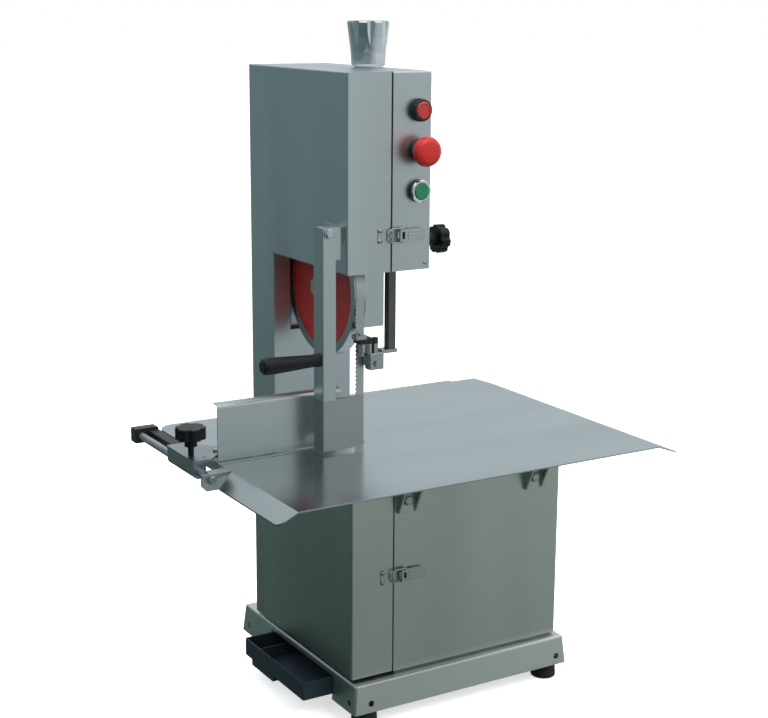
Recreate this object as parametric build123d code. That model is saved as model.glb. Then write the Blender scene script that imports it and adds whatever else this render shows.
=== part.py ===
from build123d import *
import math
import os

# Bench meat band saw. Millimetres, +Z up, +X is the feed direction, the operator side is -Y.
# The origin is on the floor, at the centre of the four feet.

# ---- driving dimensions ----
SHEET = 1.5
PLATE = 4.0
RUNNING = 0.05
EDGE_R = 3.0

FOOT_DX, FOOT_DY, FOOT_R, FOOT_H = 158.0, 155.0, 19.0, 24.0
STUD_R, INSERT_R, INSERT_DEPTH = 4.0, 3.0, 9.0

PAN_X0, PAN_X1, PAN_Y, PAN_TOP, PAN_FLARE, PAN_T = -184.0, 178.0, 176.0, 67.0, 4.0, 2.0
PAN_HOLE_R, PAN_HOLE_Z = 4.5, 37.0

SPLIT_X, SPLIT_GAP = -115.0, 2.0
CAB_X0, CAB_X1, CAB_Y0, CAB_Y1, CAB_Z0 = -184.0, 171.0, -163.0, 137.0, 70.0
TABLE_Z, TABLE_T = 400.0, 2.0
CAB_Z1 = TABLE_Z - TABLE_T
DOOR_Z0, DOOR_Z1 = 71.0, 356.0
CANOPY_Z = DOOR_Z1 + 1
HINGE_X, HINGE_Y, HINGE_R = -116.0, 142.0, 4.5
HINGE_Z = (120.0, 310.0)
GLAND_X, GLAND_Z = 120.0, 110.0

HEAD_X0, HEAD_X1, HEAD_Y0, HEAD_Y1 = -184.0, -54.0, -150.0, 139.0
HEAD_Z0, HEAD_Z1, COLUMN_Y = 645.0, 911.0, 68.0
COVER_Z0 = TABLE_Z + 2
DROP_Y, DROP_Z = -30.0, 543.0
COVER_X1 = SPLIT_X - SPLIT_GAP
FRAME_T = 2.0
FRAME_X0 = SPLIT_X + 0.5

WHEEL_Y, WHEEL_TOP_Z, WHEEL_LOW_Z, WHEEL_R = -15.0, 606.0, 195.0, 97.0
WHEEL_X0, WHEEL_X1, HUB_R = -150.0, -132.0, 26.0
RED_R, RIM_T = 85.0, 9.0
AXLE_R, LOWER_SHAFT_R = 10.0, 12.5
TENSION_TRAVEL = 9.0
NOTCH_R = 110.0

BLADE_X0, BLADE_X1, BLADE_T, TOOTH, TOOTH_PITCH = -150.0, -136.0, 0.5, 2.0, 6.0
BLADE_R = WHEEL_R + 0.25
BLADE_FRONT = WHEEL_Y - BLADE_R - BLADE_T / 2
BLADE_BACK = WHEEL_Y + BLADE_R + BLADE_T / 2

BUTTON_X, LAMP_Z, STOP_Z, START_Z = -74.5, 860.0, 806.5, 752.5
PANEL_HOLE_R, BEZEL_R, CAP_R, STEM_R = 10.5, 15.2, 11.3, 6.0
KNOB_X, KNOB_Y, SCREW_R = -84.0, -32.0, 6.0
BAR_X, BAR_Y, BAR_W, CLAMP_Z = -100.0, -122.0, 12.0, 680.0
BAR_Z0, YOKE_Z0, YOKE_Z1 = 533.0, 542.5, 550.5
GUIDE_X0, GUIDE_X1, GUIDE_Y0, GUIDE_Y1 = -138.0, -115.5, -133.0, -118.0
GUIDE_Z0, GUIDE_Z1 = 507.0, 531.0
PIN_X, FRONT_PIN_R, REAR_PIN_R, PIN_LENGTH = (-142.5, -131.6), 5.2, 3.0, 17.0
THRUST_R, THRUST_Z = 9.0, 515.5
THRUST_X = BLADE_X1 + 0.35 + THRUST_R

MOTOR_Y, MOTOR_Z, MOTOR_R = 35.0, 300.0, 60.0
PULLEY_X0, PULLEY_X1, DRIVEN_R, DRIVER_R, BELT_T = -94.0, -74.0, 45.0, 22.5, 6.0

TABLE_X0, TABLE_X1, TABLE_Y0, TABLE_Y1, TABLE_LEFT_Y1 = -356.0, 210.0, -335.0, 122.0, 106.0
LEFT_FLANGE_Y1, FLANGE_OUT_L, FLANGE_OUT_R, FLANGE_DROP = -148.0, 28.0, 36.0, 13.0
BRACKET_X, BRACKET_W, BRACKET_REACH = (-96.0, 122.0), 30.0, 42.0
BRACKET_Z0, BRACKET_BOLT_Z = 306.0, 324.0

RAIL_X, RAIL_Z, RAIL_R, RAIL_Y0, RAIL_Y1 = -384.0, 393.0, 5.5, -143.5, 106.0
FENCE_Y, FENCE_X0, FENCE_X1, FENCE_Z0, FENCE_Z1 = -100.0, -353.0, -164.0, 401.5, 479.0
CARRIAGE_Y0, CARRIAGE_Y1, CARRIAGE_TOP, CLAMP_Y = -110.0, -24.0, 407.0, -82.0
FENCE_SCREW_DX, FENCE_SCREW_Y = (5.0, 15.0), -82.0

PIVOT_X, PIVOT_Z, PIVOT_R, ARM_Y = -206.0, 702.0, 5.0, -141.0
ARM_X0, ARM_W, ARM_HEAD_W, ARM_TOP, ARM_NECK, ARM_DEPTH = -216.0, 20.0, 28.0, 709.0, 666.0, 25.0
SHOE_X1, SHOE_Z0, SHOE_Z1, SHOE_CORNER = -154.0, 404.5, 475.0, 8.0
GRIP_Y, GRIP_Z, GRIP_LENGTH = -129.0, 530.0, 85.0

DRAWER_X0, DRAWER_X1, DRAWER_Y0, DRAWER_Y1, DRAWER_Z0, DRAWER_Z1 = -232.0, 16.0, -110.0, 78.0, 30.0, 56.0

LATCHES = {"upper": (HEAD_Y0, 694.5), "lower": (CAB_Y0, 214.5)}
LATCH_PIVOT_X, LOOP_PIVOT_X, LATCH_PIVOT_OUT, WIRE_R = -105.0, -99.0, 5.0, 1.25


# ---- shape helpers ----
def block(x0, x1, y0, y1, z0, z1):
    return Pos((x0 + x1) / 2, (y0 + y1) / 2, (z0 + z1) / 2) * Box(x1 - x0, y1 - y0, z1 - z0)


def rod_x(x0, x1, y, z, r):
    return Pos((x0 + x1) / 2, y, z) * Rot(0, 90, 0) * Cylinder(r, x1 - x0)


def rod_y(x, y0, y1, z, r):
    return Pos(x, (y0 + y1) / 2, z) * Rot(90, 0, 0) * Cylinder(r, y1 - y0)


def rod_z(x, y, z0, z1, r):
    return Pos(x, y, (z0 + z1) / 2) * Cylinder(r, z1 - z0)


def prism_yz(points, x0, x1):
    return extrude(Plane.YZ.offset(x0) * make_face(Polyline(*points, close=True)), x1 - x0)


def prism_xz(points, y0, y1):
    return extrude(Plane.XZ.offset(-y1) * make_face(Polyline(*points, close=True)), y1 - y0)


def turned(points):
    """A solid turned about Z from (radius, height) points."""
    return revolve(Plane.XZ * make_face(Polyline(*points, close=True)), Axis.Z)


def hex_screw(head_r, head_h, shank_r, shank_l):
    """A screw whose head stands on the plane z = 0 and whose shank goes down."""
    head = extrude(RegularPolygon(head_r, 6), head_h)
    head = chamfer(head.edges().group_by(Axis.Z)[-1], head_h * 0.15)
    return head + Pos(0, 0, -shank_l / 2) * Cylinder(shank_r, shank_l)


def dome_screw(head_r, shank_r, shank_l):
    """A round-headed cross-slot screw on the plane z = 0."""
    ball_r = head_r * 1.15
    drop = math.sqrt(ball_r ** 2 - head_r ** 2)
    head = Pos(0, 0, -drop) * Sphere(ball_r)
    head &= Pos(0, 0, ball_r) * Box(4 * head_r, 4 * head_r, 2 * ball_r)
    slot = Pos(0, 0, ball_r - drop) * Box(head_r, head_r * 0.22, head_r * 0.5)
    head -= slot + Rot(0, 0, 90) * slot
    return head + Pos(0, 0, -shank_l / 2) * Cylinder(shank_r, shank_l)


FACING_FRONT = Rot(90, 0, 0)
FACING_RIGHT = Rot(0, 90, 0)
FACING_LEFT = Rot(0, -90, 0)
FACING_BACK = Rot(-90, 0, 0)


def star_knob(radius, thickness, lobes, hub_r, hub_h):
    """A moulded star knob on the plane z = 0, hub first."""
    outline = Circle(radius)
    for k in range(lobes):
        angle = 2 * math.pi * k / lobes
        reach = radius * 1.13
        outline -= Pos(reach * math.cos(angle), reach * math.sin(angle)) * Circle(radius * 0.26)
    head = Pos(0, 0, hub_h) * extrude(outline, thickness)
    head = fillet(head.edges().group_by(Axis.Z)[-1] + head.edges().group_by(Axis.Z)[0], 1.6)
    return head + Pos(0, 0, hub_h / 2) * Cylinder(hub_r, hub_h)


def loop_band(r0, r1, c0, c1, x0, x1):
    """A band round two circles, given as centres (y, z) and radii, between two x planes."""
    circles = [Pos(*c0) * Circle(r0), Pos(*c1) * Circle(r1)]
    hull = make_hull(circles[0].edges() + circles[1].edges())
    return extrude(Plane.YZ.offset(x0) * hull, x1 - x0)


def wheel(z, bore):
    """A blade wheel: rim, recessed web and hub."""
    depth = WHEEL_X1 - WHEEL_X0
    rim_in = WHEEL_R - RIM_T
    web0, web1 = 4.0, 10.0
    profile = [(bore, -2), (HUB_R, -2), (HUB_R, web0), (RED_R, web0), (RED_R, 0), (WHEEL_R, 0),
               (WHEEL_R, depth), (rim_in, depth), (rim_in, web1), (HUB_R, web1), (HUB_R, depth + 2),
               (bore, depth + 2)]
    return Pos(WHEEL_X0, WHEEL_Y, z) * FACING_RIGHT * turned(profile)


def pulley(radius, bore, y, z):
    width = PULLEY_X1 - PULLEY_X0
    mid = width / 2
    floor = radius - BELT_T - 0.5
    profile = [(bore, 0), (radius, 0), (radius, mid - 6), (floor, mid - 4.5), (floor, mid + 4.5),
               (radius, mid + 6), (radius, width), (bore, width)]
    return Pos(PULLEY_X0, y, z) * FACING_RIGHT * turned(profile)


def bearing(x0, x1, y, z, inner, outer):
    """A ball bearing as one ring, with the groove between its races on both faces."""
    ring = rod_x(x0, x1, y, z, outer) - rod_x(x0, x1, y, z, inner)
    mid, half = (inner + outer) / 2, (outer - inner) * 0.22
    for face in (x0, x1):
        groove = rod_x(face - 0.8, face + 0.8, y, z, mid + half)
        ring -= groove - rod_x(face - 0.8, face + 0.8, y, z, mid - half)
    return ring


# ---- base ----
def tapered(inset, z1):
    cx, lx, ly = (PAN_X0 + PAN_X1) / 2, PAN_X1 - PAN_X0 - 2 * inset, 2 * (PAN_Y - inset)
    foot = Pos(cx, 0, FOOT_H) * Rectangle(lx + 2 * PAN_FLARE, ly + 2 * PAN_FLARE)
    top = Pos(cx, 0, z1) * Rectangle(lx, ly)
    return loft([foot, top])


def base_pan():
    outer = tapered(0, PAN_TOP)
    outer = fillet(outer.edges().filter_by(lambda e: e.center().Z > FOOT_H + 1), 4)
    pan = outer - tapered(PAN_T, PAN_TOP - PAN_T)
    flange_w = 47.0
    for side in (-1, 1):
        wall = side * (PAN_Y + PAN_FLARE - PAN_T / 2)
        inner = wall - side * flange_w
        pan += block(PAN_X0, PAN_X1, min(wall, inner), max(wall, inner), FOOT_H, FOOT_H + PAN_T)
    runner_leg, runner_gap = 12.0, 0.6
    for edge, side in ((DRAWER_Y0, -1), (DRAWER_Y1, 1)):
        y0 = edge + side * runner_gap
        y1 = y0 + side * PAN_T
        y2 = y0 - side * runner_leg
        pan += block(-176, 110, min(y0, y1), max(y0, y1), DRAWER_Z0 - 2.4, PAN_TOP - PAN_T)
        pan += block(-176, 110, min(y1, y2), max(y1, y2), DRAWER_Z0 - 2.4, DRAWER_Z0 - 0.4)
    pan -= block(-200, -178, DRAWER_Y0 - 4, DRAWER_Y1 + 4, FOOT_H - 1, DRAWER_Z1 + 2)
    pan -= block(WHEEL_X0 - 14, SPLIT_X - 4, -95, 65, PAN_TOP - 5, PAN_TOP + 1)
    for sx in (-1, 1):
        for sy in (-1, 1):
            pan -= rod_z(sx * FOOT_DX, sy * FOOT_DY, FOOT_H - 1, FOOT_H + 5, STUD_R + 0.3)
    for x in (PAN_X0 + 24, PAN_X1 - 14):
        pan -= rod_y(x, -PAN_Y - 10, PAN_Y + 10, PAN_HOLE_Z, PAN_HOLE_R)
    for y in (-PAN_Y + 14, PAN_Y - 17):
        pan -= rod_x(PAN_X0 - 10, PAN_X0 + 10, y, PAN_HOLE_Z, PAN_HOLE_R)
        pan -= rod_x(PAN_X1 - 10, PAN_X1 + 10, y, PAN_HOLE_Z, PAN_HOLE_R)
    return pan


def feet_places():
    return [(sx * FOOT_DX, sy * FOOT_DY) for sx in (-1, 1) for sy in (-1, 1)]


def rubber_feet():
    feet = []
    for x, y in feet_places():
        foot = Pos(x, y, FOOT_H / 2) * Cone(FOOT_R, FOOT_R - 1.5, FOOT_H)
        foot = fillet(foot.edges().group_by(Axis.Z)[0], 2)
        foot -= rod_z(x, y, -1, INSERT_DEPTH, INSERT_R)
        foot -= rod_z(x, y, FOOT_H - 10, FOOT_H, STUD_R)
        feet.append(foot)
    return Part() + feet


def bone_dust_drawer():
    wall = 2.0
    tray = block(DRAWER_X0, DRAWER_X1, DRAWER_Y0, DRAWER_Y1, DRAWER_Z0, DRAWER_Z1)
    tray = fillet(tray.edges().filter_by(Axis.Z), 2)
    tray -= block(DRAWER_X0 + wall, DRAWER_X1 - wall, DRAWER_Y0 + wall, DRAWER_Y1 - wall,
                  DRAWER_Z0 + wall, DRAWER_Z1 + 1)
    divider_y = DRAWER_Y1 - 36
    tray += block(DRAWER_X0 + 1, DRAWER_X1 - 1, divider_y - 1, divider_y + 1, DRAWER_Z0 + 1, DRAWER_Z1 - 6)
    grip_y0, grip_y1 = -14.0, 55.0
    tray += block(DRAWER_X0, DRAWER_X0 + 2, grip_y0, grip_y1, DRAWER_Z0 - 9, DRAWER_Z0 + 1)
    tray += block(DRAWER_X0, DRAWER_X0 + 10, grip_y0, grip_y1, DRAWER_Z0 - 9, DRAWER_Z0 - 7)
    return tray


# ---- lower cabinet ----
def lower_cabinet():
    body = block(SPLIT_X, CAB_X1, CAB_Y0, CAB_Y1, CAB_Z0, CAB_Z1)
    body += block(CAB_X0, SPLIT_X, CAB_Y0, CAB_Y1, CANOPY_Z, CAB_Z1)
    corners = body.edges().filter_by(Axis.Z).filter_by(lambda e: abs(e.center().X - SPLIT_X) > 1)
    body = fillet(corners, EDGE_R)
    y0, y1 = CAB_Y0 + SHEET, CAB_Y1 - SHEET
    body -= block(SPLIT_X - 1, CAB_X1 - SHEET, y0, y1, CAB_Z0 - 1, CAB_Z1 - SHEET)
    body -= block(CAB_X0 + SHEET, SPLIT_X, y0, y1, CANOPY_Z - 1, CAB_Z1 - SHEET)
    lip, recess = 12.0, 5.0
    body += block(SPLIT_X, CAB_X1 - 1, y0 - 1, y1 + 1, CAB_Z0, CAB_Z0 + SHEET)
    body += block(SPLIT_X + recess, CAB_X1 - recess, CAB_Y0 + recess, CAB_Y1 - recess, PAN_TOP, CAB_Z0)
    body -= block(SPLIT_X - 1, CAB_X1 - lip, CAB_Y0 + lip, CAB_Y1 - lip, PAN_TOP - 1, CAB_Z0 + SHEET + 1)
    for y in (BLADE_FRONT, BLADE_BACK):
        body -= block(CAB_X0 - 1, BLADE_X1 + 2, y - 2.5, y + 2.5, CANOPY_Z - 1, CAB_Z1 + 1)
    body -= rod_z(-84, 105, CAB_Z1 - 5, CAB_Z1 + 1, 12)
    for x in BRACKET_X:
        body -= rod_y(x, CAB_Y0 - 1, CAB_Y0 + 3, BRACKET_BOLT_Z, 4.2)
    body -= rod_y(GLAND_X, CAB_Y1 - 3, CAB_Y1 + 1, GLAND_Z, 8)
    for k in range(8):
        z = 180 + 14 * k
        body -= block(30, 120, CAB_Y1 - 3, CAB_Y1 + 1, z, z + 3.6)
    return body


def cable_gland():
    ring = rod_y(GLAND_X, CAB_Y1 - 8, CAB_Y1 + 14, GLAND_Z, 8)
    nut = Pos(GLAND_X, CAB_Y1, GLAND_Z) * FACING_BACK * extrude(RegularPolygon(13, 6), 7)
    cap = turned([(0, 0), (11, 0), (11, 9), (8, 14), (0, 14)])
    cap = Pos(GLAND_X, CAB_Y1 + 7, GLAND_Z) * FACING_BACK * cap
    inner_nut = Pos(GLAND_X, CAB_Y1 - SHEET, GLAND_Z) * FACING_FRONT * extrude(RegularPolygon(12, 6), 4)
    return ring + nut + cap + inner_nut - rod_y(GLAND_X, CAB_Y1 - 10, CAB_Y1 + 30, GLAND_Z, 4.5)


def lower_bulkhead():
    plate = block(SPLIT_X, SPLIT_X + PLATE, CAB_Y0 + SHEET, CAB_Y1 - SHEET, CAB_Z0 + SHEET, CAB_Z1 - SHEET)
    return plate - rod_x(SPLIT_X - 1, SPLIT_X + PLATE + 1, WHEEL_Y, WHEEL_LOW_Z, 24)


def hinge_segments(z, middle):
    """Heights of a hinge's knuckles: the middle one is the door's, the outer two the cabinet's."""
    if middle:
        return [(z - 11.5, z + 11.5)]
    return [(z - 30, z - 12), (z + 12, z + 30)]


def lower_door():
    panel = block(CAB_X0, COVER_X1, CAB_Y0, CAB_Y1, DOOR_Z0, DOOR_Z1)
    panel = fillet(panel.edges().filter_by(Axis.Z).group_by(Axis.X)[0], EDGE_R)
    panel -= block(CAB_X0 + SHEET, 0, CAB_Y0 + SHEET, CAB_Y1 - SHEET, DOOR_Z0 + SHEET, DOOR_Z1 - SHEET)
    lip = 12.0
    panel -= block(CAB_X0 + lip, 0, CAB_Y0 + lip, CAB_Y1 - lip, DOOR_Z0 - 1, DOOR_Z1 + 1)
    for z in HINGE_Z:
        for z0, z1 in hinge_segments(z, middle=True):
            leaf = block(HINGE_X - 24, HINGE_X - 2, CAB_Y1, CAB_Y1 + 2, z0, z1)
            knuckle = rod_z(HINGE_X, HINGE_Y, z0, z1, HINGE_R)
            web = block(HINGE_X - 4, HINGE_X - 2, CAB_Y1, HINGE_Y, z0, z1)
            panel += leaf + web + knuckle
            panel -= rod_z(HINGE_X, HINGE_Y, z0 - 1, z1 + 1, 2 + RUNNING)
    return panel


def cabinet_hinges():
    solids = []
    for z in HINGE_Z:
        leaf = block(HINGE_X + 5, HINGE_X + 24, CAB_Y1, CAB_Y1 + 2, z - 30, z + 30)
        for z0, z1 in hinge_segments(z, middle=False):
            leaf += block(HINGE_X + 1.5, HINGE_X + 6, CAB_Y1, CAB_Y1 + 2, z0, z1)
            leaf += block(HINGE_X + 1.5, HINGE_X + 3.5, CAB_Y1, HINGE_Y, z0, z1)
            leaf += rod_z(HINGE_X, HINGE_Y, z0, z1, HINGE_R)
        leaf += rod_z(HINGE_X, HINGE_Y, z - 31, z + 31, 2)
        leaf += rod_z(HINGE_X, HINGE_Y, z + 30, z + 32, 3)
        for dz in (-20, 0, 20):
            leaf += Pos(HINGE_X + 15, CAB_Y1 + 2, z + dz) * FACING_BACK * dome_screw(3, 1.5, 1)
        solids.append(leaf)
    return Part() + solids


# ---- drive ----
def bearing_housing():
    x0, x1 = SPLIT_X - 4, SPLIT_X + 17
    body = rod_x(x0, x1, WHEEL_Y, WHEEL_LOW_Z, 24)
    body += rod_x(SPLIT_X + PLATE, SPLIT_X + 11, WHEEL_Y, WHEEL_LOW_Z, 36)
    body -= rod_x(x0 - 1, x1 + 1, WHEEL_Y, WHEEL_LOW_Z, 20)
    for k in range(4):
        angle = math.pi / 4 + k * math.pi / 2
        y, z = WHEEL_Y + 30 * math.cos(angle), WHEEL_LOW_Z + 30 * math.sin(angle)
        body += Pos(SPLIT_X + 11, y, z) * FACING_RIGHT * hex_screw(4.5, 3.5, 2, 1)
    return body


def lower_bearings():
    first = bearing(SPLIT_X - 3.5, SPLIT_X + 6, WHEEL_Y, WHEEL_LOW_Z, LOWER_SHAFT_R + RUNNING, 20)
    second = bearing(SPLIT_X + 7, SPLIT_X + 16.5, WHEEL_Y, WHEEL_LOW_Z, LOWER_SHAFT_R + RUNNING, 20)
    return Part() + [first, second]


def lower_shaft():
    shaft = rod_x(WHEEL_X0 - 12, PULLEY_X1 + 4, WHEEL_Y, WHEEL_LOW_Z, LOWER_SHAFT_R)
    nut = Pos(WHEEL_X0 - 2, WHEEL_Y, WHEEL_LOW_Z) * FACING_LEFT * extrude(RegularPolygon(20, 6), 7)
    return shaft + nut


def motor_body():
    x0, x1 = -60.0, 130.0
    body = rod_x(x0 + 14, x1 - 30, MOTOR_Y, MOTOR_Z, MOTOR_R - 5)
    for k in range(24):
        angle = k * 15
        fin = block(x0 + 14, x1 - 30, -1, 1, MOTOR_R - 8, MOTOR_R)
        body += Pos(0, MOTOR_Y, MOTOR_Z) * Rot(angle, 0, 0) * fin
    body += rod_x(x0, x0 + 14, MOTOR_Y, MOTOR_Z, MOTOR_R)
    body += rod_x(x1 - 30, x1, MOTOR_Y, MOTOR_Z, MOTOR_R - 1)
    body += block(0, 70, MOTOR_Y - 28, MOTOR_Y + 28, MOTOR_Z + MOTOR_R - 8, MOTOR_Z + MOTOR_R + 26)
    for x in (x0 + 20, x1 - 60):
        body += block(x, x + 22, MOTOR_Y - 46, MOTOR_Y + 46, MOTOR_Z - MOTOR_R - 4, MOTOR_Z - MOTOR_R + 24)
    return body - rod_x(x0 - 1, x0 + 20, MOTOR_Y, MOTOR_Z, 9 + RUNNING)


def motor_shelf():
    z1 = MOTOR_Z - MOTOR_R - 4
    shelf = block(-50, 124, MOTOR_Y - 50, CAB_Y1 - SHEET, z1 - PLATE, z1)
    return shelf + block(-50, 124, CAB_Y1 - SHEET - PLATE, CAB_Y1 - SHEET, z1 - 30, z1 + 20)


def motor_pulley():
    shaft = rod_x(PULLEY_X0 - 4, -41, MOTOR_Y, MOTOR_Z, 9)
    return pulley(DRIVER_R, 8, MOTOR_Y, MOTOR_Z) + shaft


def drive_belt():
    mid = (PULLEY_X0 + PULLEY_X1) / 2
    centres = (WHEEL_Y, WHEEL_LOW_Z), (MOTOR_Y, MOTOR_Z)
    outer = loop_band(DRIVEN_R, DRIVER_R, *centres, mid - 4, mid + 4)
    return outer - loop_band(DRIVEN_R - BELT_T, DRIVER_R - BELT_T, *centres, mid - 5, mid + 5)


def saw_blade():
    """The endless blade: a thin band, with teeth on the straight front run facing -X."""
    body_x0 = BLADE_X0 + TOOTH
    centres = (WHEEL_Y, WHEEL_TOP_Z), (WHEEL_Y, WHEEL_LOW_Z)
    band = loop_band(BLADE_R + BLADE_T, BLADE_R + BLADE_T, *centres, body_x0, BLADE_X1)
    band -= loop_band(BLADE_R, BLADE_R, *centres, body_x0 - 1, BLADE_X1 + 1)
    comb = [(body_x0 + 0.5, WHEEL_LOW_Z)]
    count = int((WHEEL_TOP_Z - WHEEL_LOW_Z) // TOOTH_PITCH)
    for k in range(count):
        z = WHEEL_LOW_Z + k * TOOTH_PITCH
        comb += [(BLADE_X0, z + 0.4), (BLADE_X0, z + 1.0), (body_x0, z + TOOTH_PITCH * 0.8)]
    comb.append((body_x0 + 0.5, WHEEL_LOW_Z + count * TOOTH_PITCH))
    front = BLADE_FRONT
    return band + prism_xz(comb, front - BLADE_T / 2, front + BLADE_T / 2)


def blade_scrapers():
    """Plastic guide and scrapers on the lower bulkhead: blade sides, wheel rim, lower blade guide."""
    x0, x1 = BLADE_X0 - 2, SPLIT_X
    solids = []
    for side in (-1, 1):
        for y, z0, z1 in ((BLADE_BACK, 300, 322), (BLADE_FRONT, 326, 346)):
            near = y + side * (BLADE_T / 2 + 0.4)
            far = near + side * 6
            solids.append(block(x0, x1, min(near, far), max(near, far), z0, z1))
    rim_z = WHEEL_LOW_Z + WHEEL_R
    solids.append(block(x0 + 2, x1, WHEEL_Y - 4, WHEEL_Y + 4, rim_z + 3, rim_z + 16))
    return Part() + solids


def lower_wheel():
    return wheel(WHEEL_LOW_Z, LOWER_SHAFT_R)


def upper_wheel():
    return wheel(WHEEL_TOP_Z, 17.5)


def upper_bearings():
    rings = []
    for x0 in (WHEEL_X0 - 1, WHEEL_X0 + 10):
        rings.append(bearing(x0, x0 + 9, WHEEL_Y, WHEEL_TOP_Z, AXLE_R + RUNNING, 17.5))
    return Part() + rings


def driven_pulley():
    return pulley(DRIVEN_R, LOWER_SHAFT_R, WHEEL_Y, WHEEL_LOW_Z)


# ---- head ----
def head_outline(bottom):
    return [(HEAD_Y0, HEAD_Z0), (HEAD_Y0, HEAD_Z1), (HEAD_Y1, HEAD_Z1), (HEAD_Y1, bottom),
            (COLUMN_Y, bottom), (COLUMN_Y, HEAD_Z0)]


def frame_outline(inset, bottom):
    """The fixed frame in the YZ plane: head, column and the drop that carries the axle slide."""
    i = inset
    return [(HEAD_Y0 + i, HEAD_Z0 + i), (HEAD_Y0 + i, HEAD_Z1 - i), (HEAD_Y1 - i, HEAD_Z1 - i),
            (HEAD_Y1 - i, bottom + i), (COLUMN_Y + i, bottom + i), (COLUMN_Y + i, DROP_Z + i),
            (DROP_Y + i, DROP_Z + i), (DROP_Y + i, HEAD_Z0 + i)]


def head_frame():
    """Fixed sheet housing of the head and column, with the guide bar's sleeve welded inside."""
    shell = prism_yz(frame_outline(0, CAB_Z1), FRAME_X0, HEAD_X1)
    top = shell.edges().filter_by(Axis.X).filter_by(lambda e: e.center().Z > HEAD_Z1 - 1)
    shell = fillet(top, EDGE_R)
    right = shell.edges().group_by(Axis.X)[-1]
    shell = fillet(right, 2.5)
    shell -= prism_yz(frame_outline(FRAME_T, CAB_Z1), FRAME_X0 - 1, HEAD_X1 - FRAME_T)
    half = BAR_W / 2
    sleeve = block(FRAME_X0 + PLATE, HEAD_X1 - 1, BAR_Y - 12, BAR_Y + 12, CLAMP_Z - 26, CLAMP_Z + 30)
    shell += sleeve
    hole = half + 0.1
    shell -= block(BAR_X - hole, BAR_X + hole, BAR_Y - hole, BAR_Y + hole, HEAD_Z0 - 1, CLAMP_Z + 31)
    shell -= rod_x(BAR_X, HEAD_X1 + 1, BAR_Y, CLAMP_Z, 4 + RUNNING)
    shell -= rod_z(KNOB_X, KNOB_Y, HEAD_Z1 - 5, HEAD_Z1 + 1, SCREW_R + RUNNING)
    for z in (LAMP_Z, STOP_Z, START_Z):
        shell -= rod_y(BUTTON_X, HEAD_Y0 - 1, HEAD_Y0 + 3, z, PANEL_HOLE_R)
    for place in housing_screw_places():
        shell -= place * Cylinder(1.5, 3 * FRAME_T)
    return shell


def upper_bulkhead():
    """Thick plate between wheel and frame, with the axle slot, slide rails and cover pin holes."""
    x0, x1 = FRAME_X0, FRAME_X0 + PLATE
    plate = prism_yz(frame_outline(FRAME_T, CAB_Z1), x0, x1)
    slot_w = AXLE_R + 1.5
    slot_z0 = WHEEL_TOP_Z - TENSION_TRAVEL
    plate -= rod_x(x0 - 1, x1 + 1, WHEEL_Y, WHEEL_TOP_Z, slot_w)
    plate -= rod_x(x0 - 1, x1 + 1, WHEEL_Y, slot_z0, slot_w)
    plate -= block(x0 - 1, x1 + 1, WHEEL_Y - slot_w, WHEEL_Y + slot_w, slot_z0, WHEEL_TOP_Z)
    plate += block(x1, x1 + 14, 0.3, 10, 560, 745)
    plate += block(x1, x1 + 14, -62, -52, 650, 745)
    for y, z in cover_pin_places():
        plate -= rod_x(x0 - 1, x1 + 1, y, z, 4 + RUNNING)
    return plate


def cover_pin_places():
    return [(HEAD_Y1 - 14, HEAD_Z1 - 24), (HEAD_Y1 - 14, COVER_Z0 + 30), (HEAD_Y0 + 16, HEAD_Z1 - 24)]


def upper_cover():
    """Lift-off cover of the head and column, open to the wheel, with its locating pins."""
    shell = prism_yz(head_outline(COVER_Z0), HEAD_X0, COVER_X1)
    left = shell.edges().group_by(Axis.X)[0].filter_by(lambda e: e.center().Z > COVER_Z0 + 1)
    shell = fillet(left, 2)
    i = SHEET
    cavity = [(HEAD_Y0 + i, HEAD_Z0 + i), (HEAD_Y0 + i, HEAD_Z1 - i), (HEAD_Y1 - i, HEAD_Z1 - i),
              (HEAD_Y1 - i, COVER_Z0 - 1), (COLUMN_Y + i, COVER_Z0 - 1), (COLUMN_Y + i, HEAD_Z0 + i)]
    shell -= prism_yz(cavity, HEAD_X0 + SHEET, 0)
    notch_x0 = WHEEL_X0 - 6
    shell -= rod_x(notch_x0, 0, WHEEL_Y, WHEEL_TOP_Z - TENSION_TRAVEL / 2, NOTCH_R)
    for y, z in cover_pin_places():
        wall = math.copysign(1, y)
        edge = HEAD_Y1 - 1 if wall > 0 else HEAD_Y0 + 1
        inner = y - wall * 6
        shell += block(COVER_X1 - 14, COVER_X1, min(edge, inner), max(edge, inner), z - 6, z + 6)
        shell += rod_x(COVER_X1 - 1, FRAME_X0 + 8, y, z, 4)
    return shell


def tension_carriage():
    """Slide block of the upper axle, with its nut for the tension screw."""
    x0 = FRAME_X0 + PLATE + 0.3
    body = block(x0, x0 + 12, DROP_Y + 4, 0, 578, 660)
    body += block(x0, x0 + 12, -51.7, 0, 658, 735)
    body += block(x0, KNOB_X + 11, KNOB_Y - 12, KNOB_Y + 12, 658, 688)
    body -= rod_z(KNOB_X, KNOB_Y, 640, 740, SCREW_R + RUNNING)
    return body - rod_x(x0 - 1, x0 + 13, WHEEL_Y, WHEEL_TOP_Z, AXLE_R)


def upper_axle():
    back = FRAME_X0 + PLATE + 12.3
    axle = rod_x(WHEEL_X0 - 11, back, WHEEL_Y, WHEEL_TOP_Z, AXLE_R)
    collar = rod_x(WHEEL_X1 + 2.4, WHEEL_X1 + 6, WHEEL_Y, WHEEL_TOP_Z, AXLE_R + 4)
    nut = Pos(WHEEL_X0 - 3.4, WHEEL_Y, WHEEL_TOP_Z) * FACING_LEFT * extrude(RegularPolygon(15, 6), 6)
    back_nut = Pos(back, WHEEL_Y, WHEEL_TOP_Z) * FACING_RIGHT * extrude(RegularPolygon(12.5, 6), 4)
    return axle + collar + nut + back_nut


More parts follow.
